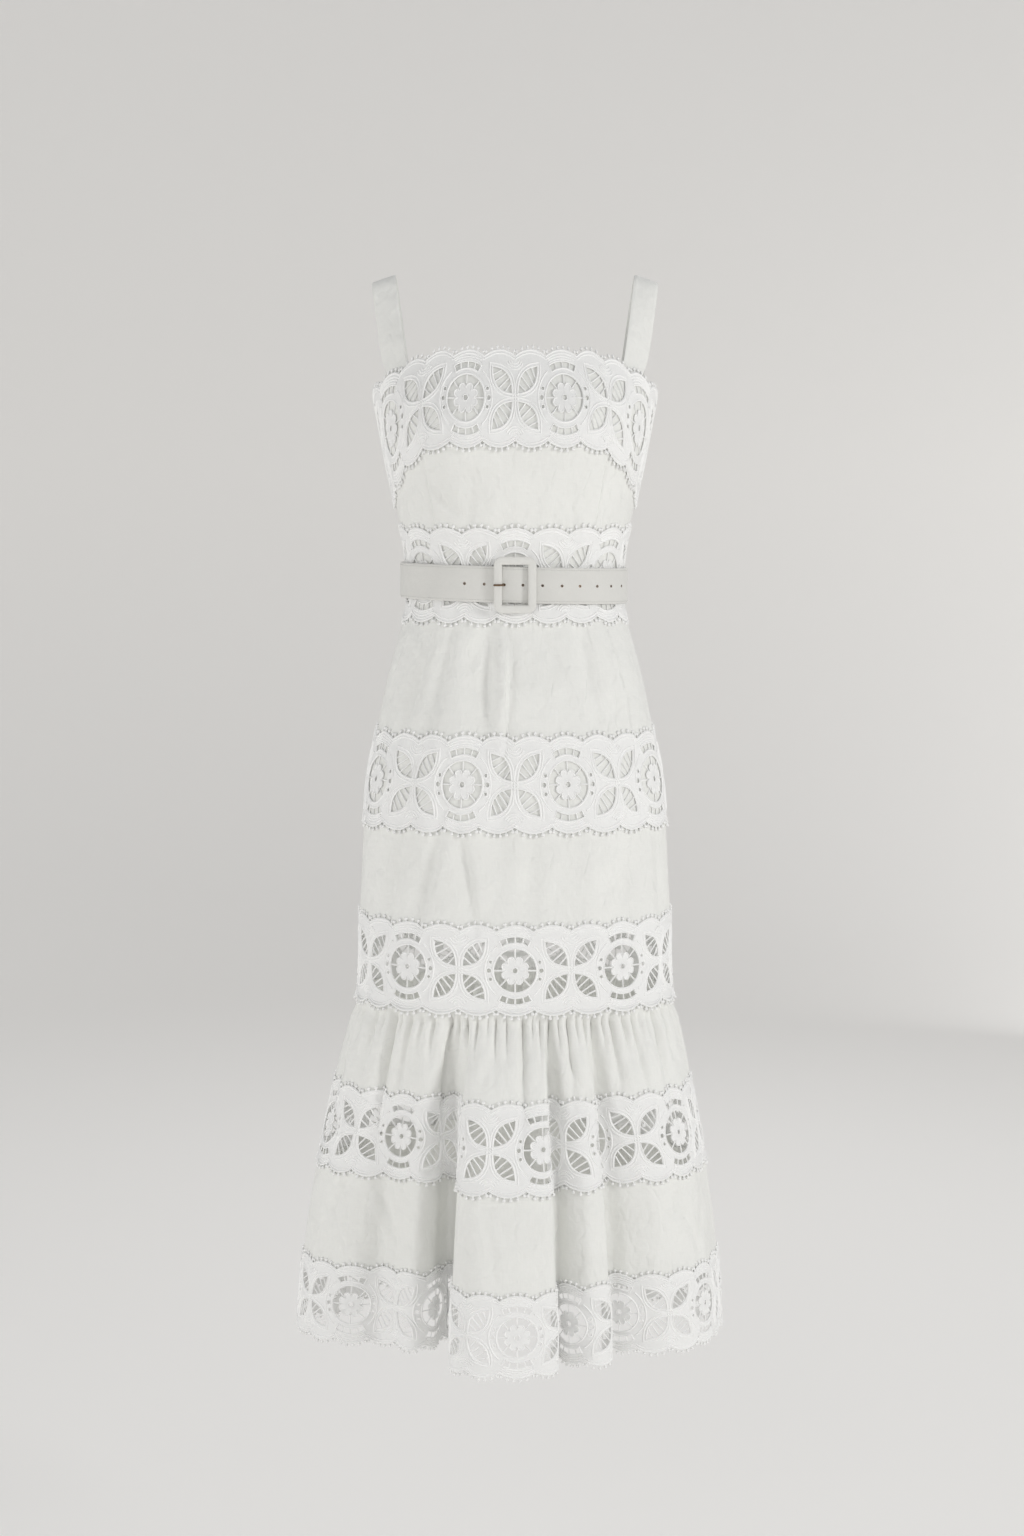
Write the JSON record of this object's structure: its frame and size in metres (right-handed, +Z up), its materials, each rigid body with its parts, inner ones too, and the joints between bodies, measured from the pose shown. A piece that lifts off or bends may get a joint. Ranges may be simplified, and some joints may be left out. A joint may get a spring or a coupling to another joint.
{
  "type": "tiered lace midi dress",
  "caption": "Hollow worn-form strap dress with a fitted bodice and skirt, cutwork lace bands, a gathered flounce, a covered buckle belt and a back zip.",
  "frame": {"origin": "midway between the crests of the two shoulder straps, where a wearer's shoulders carry the dress", "axes": "+Z up, out of the neck; -Y is the wearer's front; +X is the wearer's left"},
  "size_m": [0.4754, 0.3906, 1.1708],
  "materials": {
    "linen": "white linen weave, matt, slightly slubbed and creased",
    "lace": "white cotton cutwork lace with corded outlines and a beaded edge",
    "belt_cloth": "off-white covered belt cloth, stitched near its edges",
    "bronze": "dark bronze metal, satin",
    "zip_tape": "white woven zip tape",
    "zip_metal": "pale plated metal"
  },
  "bodies": {
    "dress": {"bodice_front_centre": "linen", "bodice_front_side_left": "linen", "bodice_front_side_right": "linen", "bodice_back_left": "linen", "bodice_back_right": "linen", "strap_left": "linen", "strap_right": "linen", "skirt_upper_front": "linen", "skirt_upper_back_left": "linen", "skirt_upper_back_right": "linen", "skirt_lower_front": "linen", "skirt_lower_back": "linen", "flounce_upper_front": "linen", "flounce_upper_back": "linen", "flounce_lower_front": "linen", "flounce_lower_back": "linen", "bust_lace_front": "lace", "bust_lace_back_left": "lace", "bust_lace_back_right": "lace", "waist_lace_front": "lace", "waist_lace_back_left": "lace", "waist_lace_back_right": "lace", "hip_lace_front": "lace", "hip_lace_back": "lace", "knee_lace_front": "lace", "knee_lace_back": "lace", "flounce_lace_front": "lace", "flounce_lace_back": "lace", "hem_lace_front": "lace", "hem_lace_back": "lace", "belt_strap": "belt_cloth", "belt_buckle": "belt_cloth", "buckle_bar": "belt_cloth", "belt_prong": "bronze", "back_zip": "zip_tape", "zip_slider": "zip_metal", "zip_pin": "zip_metal"},
    "pull": {"zip_pull": "zip_metal"}
  },
  "joints": [
    {"name": "zip_pull_hinge", "type": "hinge", "parent": "dress", "child": "pull", "pos_m": [0, 0.10659, -0.1345], "axis": [1, 0, 0], "range_deg": [0, 165]}
  ]
}
